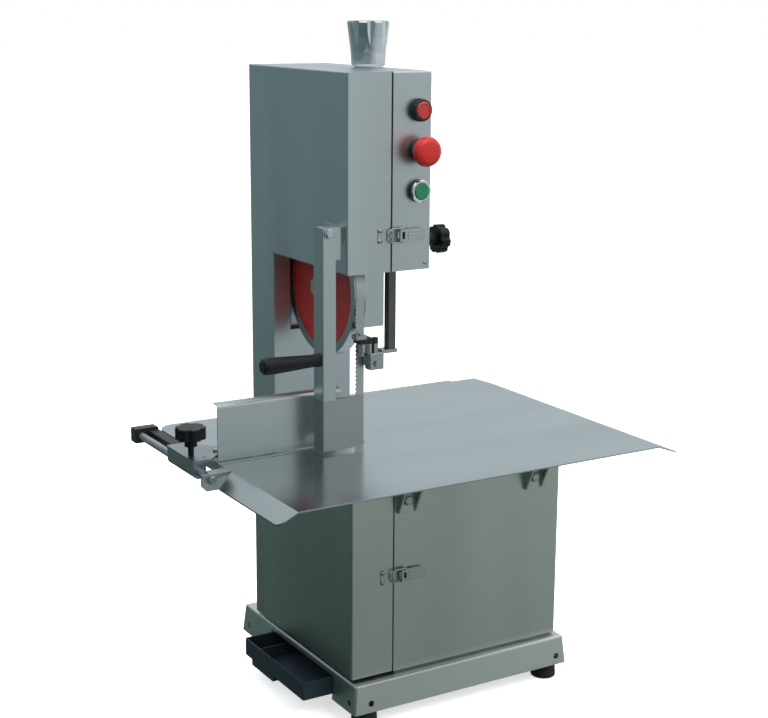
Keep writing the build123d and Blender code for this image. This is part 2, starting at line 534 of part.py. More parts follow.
def tension_screw():
    screw = rod_z(KNOB_X, KNOB_Y, 649.5, HEAD_Z1 + 30, SCREW_R)
    screw += rod_z(KNOB_X, KNOB_Y, 866, 870, 15)
    return screw


def disc_springs():
    """Stack of conical spring washers that holds the blade tension under the head's top sheet."""
    washers = []
    pitch, count, r0 = 5.6, 6, SCREW_R + 0.4
    for k in range(count):
        base = HEAD_Z1 - FRAME_T - 2.4 - (k + 1) * pitch
        low, high = (0, 2.6) if k % 2 else (2.6, 0)
        profile = [(r0, base + low), (13, base + high), (13, base + high + 2.2), (r0, base + low + 2.2)]
        washers.append(Pos(KNOB_X, KNOB_Y, 0) * turned(profile))
    return Part() + washers


def tension_knob():
    """Chromed hand knob: flares upward, eight flutes that run out towards its foot."""
    height = 63.0
    body = turned([(0, 0), (20, 0), (20, 2), (22.4, 2), (23.8, 5), (24.6, 20), (26.6, 40),
                   (28.9, height - 5), (29.2, height - 2.5), (28.2, height - 0.6), (26.4, height),
                   (0, height)])
    for k in range(8):
        angle = math.radians(22.5 + 45 * k)
        flute = Pos(32.5 * math.cos(angle), 32.5 * math.sin(angle), 7) * Cylinder(
            6.9, 80, align=(Align.CENTER, Align.CENTER, Align.MIN))
        body -= flute
    body -= Cylinder(SCREW_R, 58, align=(Align.CENTER, Align.CENTER, Align.MIN))
    return Pos(KNOB_X, KNOB_Y, HEAD_Z1 + 0.4) * body


# ---- controls ----
def button_bezels():
    bore = STEM_R + 0.1
    collar = [(bore, -2), (PANEL_HOLE_R, -2), (PANEL_HOLE_R, 0)]
    lamp = turned(collar + [(BEZEL_R - 0.8, 0), (BEZEL_R - 0.8, 10), (BEZEL_R - 2, 12), (CAP_R, 12),
                            (CAP_R, 4), (bore, 4)])
    for k in range(24):
        lamp += Rot(0, 0, 15 * k) * Pos(BEZEL_R - 0.8, 0, 5) * Cylinder(0.8, 9)
    stop = turned(collar + [(BEZEL_R, 0), (BEZEL_R, 4), (13.6, 5.5), (13.6, 9), (bore, 9)])
    start = turned(collar + [(BEZEL_R, 0), (BEZEL_R, 8.5), (BEZEL_R - 1.4, 10), (CAP_R + 0.5, 10),
                             (CAP_R + 0.5, 3), (bore, 3)])
    places = ((lamp, LAMP_Z), (stop, STOP_Z), (start, START_Z))
    return Part() + [Pos(BUTTON_X, HEAD_Y0, z) * FACING_FRONT * shape for shape, z in places]


def lamp_lens():
    lens = turned([(0, 4), (CAP_R, 4), (CAP_R, 12.6), (CAP_R - 1.2, 14), (8.6, 14), (8.6, 13.2), (0, 13.2)])
    return Pos(BUTTON_X, HEAD_Y0, LAMP_Z) * FACING_FRONT * lens


def stop_head():
    stem = Pos(0, 0, 2) * Cylinder(STEM_R, 26)
    cap = turned([(0, 14), (13, 14), (19, 16), (20, 18.5), (20, 23.5), (18.6, 27.4), (14, 29.8), (7, 30.7),
                  (0, 30.9)])
    return Pos(BUTTON_X, HEAD_Y0, STOP_Z) * FACING_FRONT * (stem + cap)


def start_cap():
    stem = Pos(0, 0, -2) * Cylinder(STEM_R, 20)
    cap = turned([(0, 6.2), (CAP_R, 6.2), (CAP_R, 10.6), (CAP_R - 1, 11.4), (0, 11.4)])
    return Pos(BUTTON_X, HEAD_Y0, START_Z) * FACING_FRONT * (stem + cap)


def contact_blocks():
    blocks = []
    for z in (LAMP_Z, STOP_Z, START_Z):
        body = block(BUTTON_X - 14, BUTTON_X + 14, HEAD_Y0 + FRAME_T, HEAD_Y0 + 44, z - 19, z + 19)
        body -= rod_y(BUTTON_X, HEAD_Y0, HEAD_Y0 + 22, z, STEM_R + 0.3)
        for dx in (-8, 8):
            body -= rod_z(BUTTON_X + dx, HEAD_Y0 + 36, z + 14, z + 20, 2.5)
        blocks.append(body)
    return Part() + blocks


# ---- blade guide ----
def guide_bar():
    half = BAR_W / 2
    bar = block(BAR_X - half, BAR_X + half, BAR_Y - half, BAR_Y + half, BAR_Z0, 800)
    return chamfer(bar.edges().filter_by(Axis.Z), 0.8)


def guide_holder():
    """Block beside the blade with the thrust bearing's axle, and the yoke that holds the guide pins."""
    body = fillet(block(GUIDE_X0, GUIDE_X1, GUIDE_Y0, GUIDE_Y1, GUIDE_Z0, GUIDE_Z1).edges(), 1.6)
    body += block(GUIDE_X1 - 2, BAR_X + BAR_W / 2 + 1, GUIDE_Y0 + 3, BAR_Y + 8, BAR_Z0 - 5, BAR_Z0)
    body += rod_y(THRUST_X, GUIDE_Y1 - 1, BLADE_FRONT + 6, THRUST_Z, 3)
    mid_x = (PIN_X[0] + PIN_X[1]) / 2
    yoke = block(PIN_X[0] - 6, PIN_X[1] + 6, -124, -105.5, YOKE_Z0, YOKE_Z1)
    yoke = fillet(yoke.edges().filter_by(Axis.Y).group_by(Axis.Z)[-1], 3)
    yoke -= rod_y(mid_x, -126, -103, YOKE_Z0 - 1, 3)
    body += yoke + block(PIN_X[1] + 5, PIN_X[1] + 11, -125, GUIDE_Y1 - 1, GUIDE_Z1 - 2, YOKE_Z1)
    body += block(-157, -141, -129, -115, YOKE_Z1, YOKE_Z1 + 6)
    body -= block(-160, BLADE_X1 + 2, BLADE_FRONT - 1.2, BLADE_FRONT + 1.2, YOKE_Z0 - 1, YOKE_Z1 + 7)
    for x, y, radius in pin_places():
        body -= rod_z(x, y, YOKE_Z0 - PIN_LENGTH, YOKE_Z0, radius)
    body += Pos(THRUST_X, GUIDE_Y0, THRUST_Z) * FACING_FRONT * hex_screw(5, 4, 2, 1)
    return body + Pos(-147, -122, YOKE_Z1 + 6) * hex_screw(4, 3, 2, 1)


def pin_places():
    """The guide pins as (x, y, radius): the front ones are larger than the rear ones."""
    near = BLADE_T / 2 + 0.35
    front = [(x, BLADE_FRONT - near - FRONT_PIN_R, FRONT_PIN_R) for x in PIN_X]
    return front + [(x, BLADE_FRONT + near + REAR_PIN_R, REAR_PIN_R) for x in PIN_X]


def guide_pins():
    """Four upright pins, a pair on each side of the blade."""
    pins = []
    for x, y, radius in pin_places():
        pin = turned([(0, 0), (radius - 1, 0), (radius, 1), (radius, PIN_LENGTH), (0, PIN_LENGTH)])
        pins.append(Pos(x, y, YOKE_Z0 - PIN_LENGTH) * pin)
    return Part() + pins


def thrust_bearing():
    ring = rod_y(THRUST_X, BLADE_FRONT - 4, BLADE_FRONT + 4, THRUST_Z, THRUST_R)
    ring -= rod_y(THRUST_X, BLADE_FRONT - 5, BLADE_FRONT + 5, THRUST_Z, 3 + RUNNING)
    for face in (-4, 4):
        y = BLADE_FRONT + face
        groove = rod_y(THRUST_X, y - 0.7, y + 0.7, THRUST_Z, 7)
        ring -= groove - rod_y(THRUST_X, y - 0.7, y + 0.7, THRUST_Z, 4.6)
    return ring


def guide_clamp_knob():
    knob = star_knob(20, 15, 7, 9, 16)
    reach = HEAD_X1 - (BAR_X + BAR_W / 2) - 0.4
    knob += Pos(0, 0, -reach / 2 - 0.5) * Cylinder(4, reach + 1)
    knob += Pos(0, 0, -0.5) * Cylinder(6.5, 2)
    return Pos(HEAD_X1 + 9, BAR_Y, CLAMP_Z) * FACING_RIGHT * knob + rod_x(
        BAR_X + BAR_W / 2 + 0.3, HEAD_X1 + 10, BAR_Y, CLAMP_Z, 4)


# ---- table ----
def worktable():
    top = block(TABLE_X0, TABLE_X1, TABLE_Y0, TABLE_Y1, TABLE_Z - TABLE_T, TABLE_Z)
    top -= block(TABLE_X0 - 1, HEAD_X0 - 6, TABLE_LEFT_Y1, TABLE_Y1 + 1, TABLE_Z - 5, TABLE_Z + 1)
    back_left = top.edges().filter_by(Axis.Z).filter_by(
        lambda e: e.center().X < TABLE_X0 + 1 and e.center().Y > 0)
    top = fillet(back_left, 25)
    z1, z0, t = TABLE_Z, TABLE_Z - FLANGE_DROP, TABLE_T
    left_x, right_x = TABLE_X0 - FLANGE_OUT_L, TABLE_X1 + FLANGE_OUT_R
    left = [(TABLE_X0, z1), (left_x, z0), (left_x, z0 - t), (TABLE_X0, z1 - t)]
    right = [(TABLE_X1, z1), (right_x, z0), (right_x, z0 - t), (TABLE_X1, z1 - t)]
    trim = block(TABLE_X0 - FLANGE_OUT_L, TABLE_X0, TABLE_Y0, LEFT_FLANGE_Y1, z0 - 9, z1)
    front_left = trim.edges().filter_by(Axis.Z).sort_by(Axis.X)[:2].sort_by(Axis.Y)[0]
    flange = prism_xz(left, TABLE_Y0, LEFT_FLANGE_Y1) & fillet(front_left, 10)
    corner = [(TABLE_X0, LEFT_FLANGE_Y1 + 1), (TABLE_X0 - FLANGE_OUT_L - 1, LEFT_FLANGE_Y1 + 1),
              (TABLE_X0 - FLANGE_OUT_L - 1, LEFT_FLANGE_Y1 - 22)]
    top += flange - extrude(Plane.XY.offset(z0 - 9) * make_face(Polyline(*corner, close=True)), 30)
    trim = block(TABLE_X1, TABLE_X1 + FLANGE_OUT_R, TABLE_Y0, TABLE_Y1, z0 - 9, z1)
    right_edges = trim.edges().filter_by(Axis.Z).group_by(Axis.X)[-1]
    top += prism_xz(right, TABLE_Y0, TABLE_Y1) & fillet(right_edges, 8)
    top += block(TABLE_X0, TABLE_X0 + TABLE_T, -124, TABLE_LEFT_Y1 - 27, TABLE_Z - 14, TABLE_Z - 1)
    y = BLADE_FRONT
    top -= block(TABLE_X0 - 5, BLADE_X1 + 2, y - 1.5, y + 1.5, TABLE_Z - 20, TABLE_Z + 1)
    top -= block(BLADE_X0 - 4, HEAD_X1 + 2, COLUMN_Y - 2, TABLE_Y1 + 1, TABLE_Z - 10, TABLE_Z + 1)
    return top - insert_blank(TABLE_T + 1)


def insert_blank(depth):
    pocket = block(-162, -112, -138, -88, TABLE_Z - depth, TABLE_Z + depth)
    return fillet(pocket.edges().filter_by(Axis.Z), 6)


def blade_insert():
    plate = insert_blank(TABLE_T + 1) & block(-170, -100, -150, -80, TABLE_Z - TABLE_T, TABLE_Z)
    return plate - block(-170, BLADE_X1 + 2, BLADE_FRONT - 1.5, BLADE_FRONT + 1.5, TABLE_Z - 5, TABLE_Z + 1)


def table_brackets():
    """Sheet brackets under the front overhang: back plate, top plate and two tapered cheeks."""
    t = 3.0
    front = CAB_Y0 - BRACKET_REACH
    solids = []
    for x in BRACKET_X:
        x0, x1 = x - BRACKET_W / 2, x + BRACKET_W / 2
        body = block(x0, x1, CAB_Y0 - t, CAB_Y0, BRACKET_Z0, CAB_Z1)
        body += block(x0, x1, front, CAB_Y0, CAB_Z1 - t, CAB_Z1)
        cheek = [(CAB_Y0, BRACKET_Z0), (CAB_Y0 - 4, BRACKET_Z0), (front, CAB_Z1 - 12), (front, CAB_Z1),
                 (CAB_Y0, CAB_Z1)]
        body += prism_yz(cheek, x0, x0 + t) + prism_yz(cheek, x1 - t, x1)
        body -= rod_y(x, CAB_Y0 - 10, CAB_Y0 + 1, BRACKET_BOLT_Z, 4.2)
        solids.append(body)
    return Part() + solids


def fixing_screws():
    """Foot screws, bracket bolts, the rail's end bolt and the housing's small screws."""
    solids = []
    for x, y in feet_places():
        solids.append(Pos(x, y, FOOT_H + PAN_T) * hex_screw(7, 5.5, STUD_R, 12))
    for x in BRACKET_X:
        place = Pos(x, CAB_Y0 - 3, BRACKET_BOLT_Z) * FACING_FRONT
        solids.append(place * (hex_screw(7, 5.5, 4, 12) + Pos(0, 0, 0.75) * Cylinder(8.5, 1.5)))
    solids.append(Pos(RAIL_X, RAIL_Y0 - 3, RAIL_Z) * FACING_FRONT * (
        hex_screw(5.8, 4.5, 3, 12) + Pos(0, 0, 0.6) * Cylinder(7, 1.2)))
    for place in housing_screw_places():
        solids.append(place * dome_screw(2.8, 1.5, FRAME_T))
    return Part() + solids


def housing_screw_places():
    """Where the small screws sit on the head's front flange and right side, as locations."""
    front = Pos(HEAD_X1 - 8, HEAD_Y0, HEAD_Z0 + 8) * FACING_FRONT
    side = [(HEAD_Y0 + 12, HEAD_Z0 + 12), (HEAD_Y1 - 12, HEAD_Z0 + 12), (HEAD_Y0 + 12, HEAD_Z1 - 12),
            (HEAD_Y1 - 12, HEAD_Z1 - 12), (HEAD_Y1 - 12, TABLE_Z + 40)]
    return [front] + [Pos(HEAD_X1, y, z) * FACING_RIGHT for y, z in side]


# ---- fence and its rail ----
def rail_rod():
    rod = rod_y(RAIL_X, RAIL_Y0, RAIL_Y1, RAIL_Z, RAIL_R)
    return rod - rod_y(RAIL_X, RAIL_Y0 - 1, RAIL_Y0 + 9, RAIL_Z, 3)


def rail_bracket():
    """Front end bracket of the rail, folded from plate and fixed to the table's left lip."""
    y0 = RAIL_Y0 - 3
    body = block(RAIL_X - 14, TABLE_X0, y0, RAIL_Y0, 378, 398)
    body = chamfer(body.edges().filter_by(Axis.Y).filter_by(lambda e: e.center().Z < 380), 7)
    body += block(RAIL_X - 2, TABLE_X0, y0, RAIL_Y0 + 14, 398.6, 401)
    body += block(TABLE_X0 - 3, TABLE_X0, RAIL_Y0 - 1, RAIL_Y0 + 24, 386, 399)
    body += block(RAIL_X - 14, TABLE_X0, y0, RAIL_Y0, 397, 401)
    return body - rod_y(RAIL_X, y0 - 1, RAIL_Y0 + 1, RAIL_Z, 3)


def scale_bar():
    """Black bar along the table's edge with its end block, which holds the far end of the rail."""
    bar = block(-372, TABLE_X0, -24, 76, 387, 399)
    bar += block(-372, TABLE_X0 - 1, 70, RAIL_Y1, 387, 399)
    block_y0 = RAIL_Y1 - 12
    end = block(RAIL_X - 9, TABLE_X0 - 1, block_y0, RAIL_Y1 + 4, RAIL_Z - 11, RAIL_Z + 10)
    end = fillet(end.edges().filter_by(Axis.Y), 2)
    bar += end
    for k in range(23):
        y = -20 + 5 * k
        length = 9 if k % 2 == 0 else 5
        bar -= block(-371, -371 + length, y, y + 0.6, 398.5, 400)
    return bar - rod_y(RAIL_X, block_y0 - 1, RAIL_Y1, RAIL_Z, RAIL_R)


def fence_carriage():
    """Sliding block on the rail with the plate that carries the fence."""
    body = block(RAIL_X - 9.5, RAIL_X + 9, CARRIAGE_Y0, CARRIAGE_Y1, RAIL_Z - 9, CARRIAGE_TOP)
    body = fillet(body.edges().filter_by(Axis.Y).filter_by(lambda e: e.center().Z < RAIL_Z), 8)
    y0, y1, right = CARRIAGE_Y0 - 1, CARRIAGE_Y1 + 1, FENCE_X0 + 22
    plate = [(RAIL_X - 10, y0), (RAIL_X + 17, y0), (FENCE_X0 - 1, FENCE_Y + 2), (right, FENCE_Y + 2),
             (right, FENCE_Y + 30), (RAIL_X + 17, y1), (RAIL_X - 10, y1)]
    top = extrude(Plane.XY.offset(CARRIAGE_TOP) * make_face(Polyline(*plate, close=True)), 3)
    body += fillet(top.edges().filter_by(Axis.Z), 1.2)
    body -= rod_y(RAIL_X, CARRIAGE_Y0 - 1, CARRIAGE_Y1 + 1, RAIL_Z, RAIL_R + RUNNING)
    body -= rod_z(RAIL_X, CLAMP_Y, RAIL_Z, CARRIAGE_TOP + 5, 4 + RUNNING)
    for dx in FENCE_SCREW_DX:
        body -= rod_z(FENCE_X0 + dx, FENCE_SCREW_Y, CARRIAGE_TOP - 1, CARRIAGE_TOP + 4, 2)
    for y in (CLAMP_Y - 20, CLAMP_Y + 20):
        body += Pos(RAIL_X + 11, y, CARRIAGE_TOP + 3) * dome_screw(3, 1.4, 2)
    return body


def fence_plate():
    """Fence sheet with its rolled top lip and the foot that is fixed under the carriage plate."""
    t, lip = 1.5, 6.0
    y, z = FENCE_Y, FENCE_Z1
    wall = block(FENCE_X0, FENCE_X1, y, y + t, FENCE_Z0, z - lip)
    arc = rod_x(FENCE_X0, FENCE_X1, y + lip, z - lip, lip)
    arc -= rod_x(FENCE_X0, FENCE_X1, y + lip, z - lip, lip - t)
    arc &= block(FENCE_X0, FENCE_X1, y, y + lip, z - lip, z)
    fence = wall + arc + block(FENCE_X0, FENCE_X1, y + lip, y + lip + 7, z - t, z)
    foot = block(FENCE_X0, FENCE_X0 + 60, y, y + 30, CARRIAGE_TOP - 2.5, CARRIAGE_TOP)
    foot = fillet(foot.edges().filter_by(Axis.Z).filter_by(lambda e: e.center().Y > y + 20), 6)
    fence += foot
    for dx in FENCE_SCREW_DX:
        fence += Pos(FENCE_X0 + dx, FENCE_SCREW_Y, CARRIAGE_TOP + 3) * hex_screw(4, 3, 2, 4)
    return fence


def fence_clamp_knob():
    knob = Pos(RAIL_X, CLAMP_Y, 422.5) * star_knob(20.5, 16.5, 6, 8.5, 10)
    return knob + rod_z(RAIL_X, CLAMP_Y, RAIL_Z + RAIL_R + 0.4, 426, 4)


# ---- pusher ----
def pusher_hinge():
    """Hinge boss on the cover's side with its pivot bolt."""
    y0, y1 = ARM_Y + 2.3, ARM_Y + 24
    boss = rod_y(PIVOT_X, y0, y1, PIVOT_Z, 7.4)
    boss += block(PIVOT_X, HEAD_X0, y0, y1, PIVOT_Z - 7.4, PIVOT_Z + 7.4)
    boss += block(HEAD_X0 - 2, HEAD_X0, y0, y1 + 24, PIVOT_Z - 16, PIVOT_Z + 7.4)
    bolt = Pos(PIVOT_X, ARM_Y - 0.3, PIVOT_Z) * FACING_FRONT * (
        hex_screw(6.5, 4.5, PIVOT_R, 3) + Pos(0, 0, 0.7) * Cylinder(7.8, 1.4))
    return boss + bolt


def pusher_arm():
    """Folded arm: front web with a wide pivot head, and a side flange on the left."""
    t = 2.0
    web = [(ARM_X0, SHOE_Z1), (ARM_X0, ARM_TOP), (ARM_X0 + ARM_HEAD_W, ARM_TOP),
           (ARM_X0 + ARM_HEAD_W, ARM_NECK), (ARM_X0 + ARM_W, ARM_NECK), (ARM_X0 + ARM_W, SHOE_Z1)]
    arm = prism_xz(web, ARM_Y, ARM_Y + t)
    arm += block(ARM_X0, ARM_X0 + t, ARM_Y, ARM_Y + ARM_DEPTH, SHOE_Z1, ARM_TOP)
    fold = arm.edges().filter_by(Axis.Z).sort_by(Axis.X)[:2].sort_by(Axis.Y)[0]
    arm = fillet(fold, 1.5)
    arm += block(ARM_X0 + 3, ARM_X0 + ARM_W, ARM_Y + t, ARM_Y + 2 * t, SHOE_Z0 + 6, SHOE_Z1 + 30)
    arm -= rod_x(ARM_X0 - 1, ARM_X0 + t + 1, GRIP_Y, GRIP_Z, 4)
    return arm - rod_y(PIVOT_X, ARM_Y - 1, ARM_Y + t + 1, PIVOT_Z, PIVOT_R + RUNNING)


def pusher_shoe():
    """Folded shoe below the arm: front plate, left flange and a small top fold."""
    t = 2.0
    c = SHOE_CORNER
    x0, x1 = ARM_X0, SHOE_X1
    front = block(x0, x1, ARM_Y, ARM_Y + t, SHOE_Z0, SHOE_Z1)
    front = fillet(front.edges().filter_by(Axis.Y).filter_by(
        lambda e: e.center().X > x1 - 1 and e.center().Z < SHOE_Z0 + 1), c)
    shoe = front + block(x0, x0 + t, ARM_Y, ARM_Y + ARM_DEPTH, SHOE_Z0, SHOE_Z1)
    shoe = fillet(shoe.edges().filter_by(Axis.Z).sort_by(Axis.X)[:2].sort_by(Axis.Y)[0], 1.5)
    shoe += block(ARM_X0 + ARM_W + 1, x1, ARM_Y, ARM_Y + 9, SHOE_Z1 - t, SHOE_Z1)
    return shoe


def pusher_handle():
    length = GRIP_LENGTH
    body = turned([(0, 0), (9, 0), (9, 6), (8.4, 8), (9, 22), (10, 40), (11.2, 64), (11.5, length - 6),
                   (10.6, length - 2), (8, length), (0, length)])
    body = Pos(ARM_X0, GRIP_Y, GRIP_Z) * FACING_LEFT * body
    stud = rod_x(ARM_X0 - 5, ARM_X0 + 8, GRIP_Y, GRIP_Z, 4)
    nut = Pos(ARM_X0 + 2, GRIP_Y, GRIP_Z) * FACING_RIGHT * extrude(RegularPolygon(7, 6), 5)
    return body + stud + nut


# ---- toggle latches ----
def latch_base(face, z):
    plate = block(LATCH_PIVOT_X - 3, -66, face - 1, face, z - 5.9, z + 5.9)
    for side in (-1, 1):
        inner, outer = z + side * 4.6, z + side * 5.9
        plate += block(LATCH_PIVOT_X - 1.3, LATCH_PIVOT_X + 1.3, face - LATCH_PIVOT_OUT - 1.2, face,
                       min(inner, outer), max(inner, outer))
    plate += rod_z(LATCH_PIVOT_X, face - LATCH_PIVOT_OUT, z - 7.9, z + 7.9, 1.1)
    for x in (-93, -74):
        plate += Pos(x, face - 1, z) * FACING_FRONT * dome_screw(2.4, 1, 1)
    return plate


def latch_bases():
    return Part() + [latch_base(face, z) for face, z in LATCHES.values()]


def latch_lever(face, z):
    x0, x1, top = LATCH_PIVOT_X - 1.6, -68.0, face - 8.2
    lever = block(x0, x1, top, top + 1.3, z - 8.2, z + 8.2)
    for side in (-1, 1):
        inner, outer = z + side * 6.9, z + side * 8.2
        lever += block(x0, x1 - 4, top, face - 3.2, min(inner, outer), max(inner, outer))
    lever = fillet(lever.edges().filter_by(Axis.Y).filter_by(lambda e: e.center().X > x1 - 1), 3)
    lever -= rod_z(LATCH_PIVOT_X, face - LATCH_PIVOT_OUT, z - 9, z + 9, 1.1 + RUNNING)
    lever -= rod_z(LOOP_PIVOT_X, face - LATCH_PIVOT_OUT, z - 9, z + 9, WIRE_R + RUNNING)
    lever -= block(LATCH_PIVOT_X + 1.6, LATCH_PIVOT_X + 5.8, top - 1, top + 2, z - 5, z + 5)
    for dz in (-4.4, 0, 4.4):
        lever += block(-94, -72, top - 0.8, top, z + dz - 1.1, z + dz + 1.1)
    return lever


def latch_loop(face, z):
    """Wire loop: two legs outside the lever, a round end over the catch, and pivot ends turned in."""
    y = face - LATCH_PIVOT_OUT
    half, corner, tip = 9.7, 6.0, -120.5
    loop = rod_x(tip + corner, LOOP_PIVOT_X, y, z - half, WIRE_R)
    loop += rod_x(tip + corner, LOOP_PIVOT_X, y, z + half, WIRE_R)
    loop += rod_z(tip, y, z - half + corner, z + half - corner, WIRE_R)
    for side in (-1, 1):
        bend = Pos(tip + corner, y, z + side * (half - corner)) * Rot(90, 0, 0) * Torus(corner, WIRE_R)
        z0, z1 = z + side * (half - corner), z + side * (half + WIRE_R)
        loop += bend & block(tip - 2, tip + corner, y - 2, y + 2, min(z0, z1), max(z0, z1))
        inner, outer = z + side * 7.2, z + side * (half + WIRE_R)
        loop += rod_z(LOOP_PIVOT_X, y, min(inner, outer), max(inner, outer), WIRE_R)
    return loop


def latch_catch(face, z):
    """Slim catch with its two screws, on the cover or door side of the split."""
    plate = block(-137, -131, face - 0.7, face, z - 9, z + 9)
    plate += block(-132, COVER_X1, face - 0.7, face, z - 3, z + 3)
    plate += block(COVER_X1 - 1.2, COVER_X1, face - 3.3, face, z - 3, z + 3)
    for side in (-1, 1):
        plate += Pos(-133.5, face - 0.5, z + side * 7) * FACING_FRONT * dome_screw(4, 1.6, 0.5)
    return plate


PARTS = {
    "base_pan": base_pan,
    "rubber_feet": rubber_feet,
    "fixing_screws": fixing_screws,
    "bone_dust_drawer": bone_dust_drawer,
    "lower_cabinet": lower_cabinet,
    "cable_gland": cable_gland,
    "lower_bulkhead": lower_bulkhead,
    "lower_door": lower_door,
    "cabinet_hinges": cabinet_hinges,
    "bearing_housing": bearing_housing,
    "lower_bearings": lower_bearings,
    "lower_shaft": lower_shaft,
    "lower_wheel": lower_wheel,
    "driven_pulley": driven_pulley,
    "motor_body": motor_body,
    "motor_shelf": motor_shelf,
    "motor_pulley": motor_pulley,
    "drive_belt": drive_belt,
    "saw_blade": saw_blade,
    "blade_scrapers": blade_scrapers,
    "upper_wheel": upper_wheel,
    "upper_bearings": upper_bearings,
    "upper_axle": upper_axle,
    "head_frame": head_frame,
    "upper_bulkhead": upper_bulkhead,
    "upper_cover": upper_cover,
    "tension_carriage": tension_carriage,
    "tension_screw": tension_screw,
    "disc_springs": disc_springs,
    "tension_knob": tension_knob,
    "button_bezels": button_bezels,
    "lamp_lens": lamp_lens,
    "stop_head": stop_head,
    "start_cap": start_cap,
    "contact_blocks": contact_blocks,
    "guide_bar": guide_bar,
    "guide_holder": guide_holder,
    "guide_pins": guide_pins,
    "thrust_bearing": thrust_bearing,
    "guide_clamp_knob": guide_clamp_knob,
    "worktable": worktable,
    "blade_insert": blade_insert,
    "table_brackets": table_brackets,
    "rail_rod": rail_rod,
    "rail_bracket": rail_bracket,
    "scale_bar": scale_bar,
    "fence_carriage": fence_carriage,
    "fence_plate": fence_plate,
    "fence_clamp_knob": fence_clamp_knob,
    "pusher_hinge": pusher_hinge,
    "pusher_arm": pusher_arm,
    "pusher_shoe": pusher_shoe,
    "pusher_handle": pusher_handle,
    "latch_bases": latch_bases,
}

os.makedirs("parts", exist_ok=True)
for name, make in PARTS.items():
    export_step(make(), f"parts/{name}.step")
for name, (face, height) in LATCHES.items():
    export_step(latch_lever(face, height), f"parts/{name}_latch_lever.step")
    export_step(latch_loop(face, height), f"parts/{name}_latch_loop.step")
    export_step(latch_catch(face, height), f"parts/{name}_latch_catch.step")
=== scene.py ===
import bpy
import bmesh
import math
from mathutils import Matrix, Vector


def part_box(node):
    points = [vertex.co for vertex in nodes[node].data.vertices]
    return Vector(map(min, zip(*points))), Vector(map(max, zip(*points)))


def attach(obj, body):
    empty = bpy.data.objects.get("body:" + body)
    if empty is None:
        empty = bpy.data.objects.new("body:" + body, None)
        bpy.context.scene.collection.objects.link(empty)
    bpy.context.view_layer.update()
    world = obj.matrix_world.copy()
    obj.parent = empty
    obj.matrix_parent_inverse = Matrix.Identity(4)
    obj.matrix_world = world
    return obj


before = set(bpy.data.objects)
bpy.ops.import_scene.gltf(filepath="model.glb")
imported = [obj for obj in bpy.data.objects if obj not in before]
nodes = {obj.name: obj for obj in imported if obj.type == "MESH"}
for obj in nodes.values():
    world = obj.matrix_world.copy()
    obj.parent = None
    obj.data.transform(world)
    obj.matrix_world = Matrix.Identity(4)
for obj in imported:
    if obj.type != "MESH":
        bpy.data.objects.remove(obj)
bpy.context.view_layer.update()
scene = bpy.context.scene

# ---- the view, in metres, degrees and millimetres of lens ----
CAMERA_PLACE = (-1.1744, -1.8955, 0.9999)
CAMERA_YAW, CAMERA_PITCH, CAMERA_ROLL = 30.99, 13.11, 0.396
CAMERA_LENS, SENSOR_WIDTH = 71.93, 36.0

# ---- places where a look changes within a node, in metres ----
START_RING_Z, START_RING_FRONT_Y = (0.733, 0.772), -0.1572
STOP_COLLAR_Z, STOP_COLLAR_FRONT_Y = (0.787, 0.826), -0.1556
YOKE_Z = (0.5422, 0.5507)
SCALE_TICK_Z, SCALE_TICK_X = (0.3982, 0.3988), (-0.3712, -0.3618)
WHEEL_AXIS_Y, UPPER_WHEEL_Z, LOWER_WHEEL_Z = -0.015, 0.606, 0.195
PAINT_RADIUS, HUB_RADIUS = 0.0851, 0.0180

# ---- brushed sheet, with painted sheen ----
GRAIN_STRETCH, PAINTED_SHEEN_STRETCH = 0.012, 0.22
CLOUD, COOL_TINT = 0.05, (0.97, 1.0, 0.99)

# ---- dark strips set in the seams as painted shade, in metres ----
HEAD_BOTTOM = 0.645
SEAM_SHADE_LEFT, SEAM_SHADE_RIGHT = 0.0023, 0.0008
SEAM_SHADE_ROWS, SEAM_SHADE_DEPTH, SEAM_SHADE_INSET, SEAM_SHADE_CORNER = 48, 0.0026, 0.0005, 0.0003
SEAM_SHADE_FOOT, SEAM_SHADE_HEAD = 0.003, 0.004


# ---- camera: the photograph's viewpoint ----
def add_camera():
    yaw, pitch, roll = (math.radians(a) for a in (CAMERA_YAW, CAMERA_PITCH, CAMERA_ROLL))
    forward = Vector((math.sin(yaw) * math.cos(pitch), math.cos(yaw) * math.cos(pitch),
                      -math.sin(pitch)))
    level = Vector((math.cos(yaw), -math.sin(yaw), 0))
    up = level.cross(forward)
    right = level * math.cos(roll) + up * math.sin(roll)
    up = right.cross(forward)
    data = bpy.data.cameras.new("camera")
    data.lens, data.sensor_width = CAMERA_LENS, SENSOR_WIDTH
    camera = bpy.data.objects.new("camera", data)
    axes = Matrix((right, up, -forward)).transposed().to_4x4()
    camera.matrix_world = Matrix.Translation(CAMERA_PLACE) @ axes
    scene.collection.objects.link(camera)
    scene.camera = camera


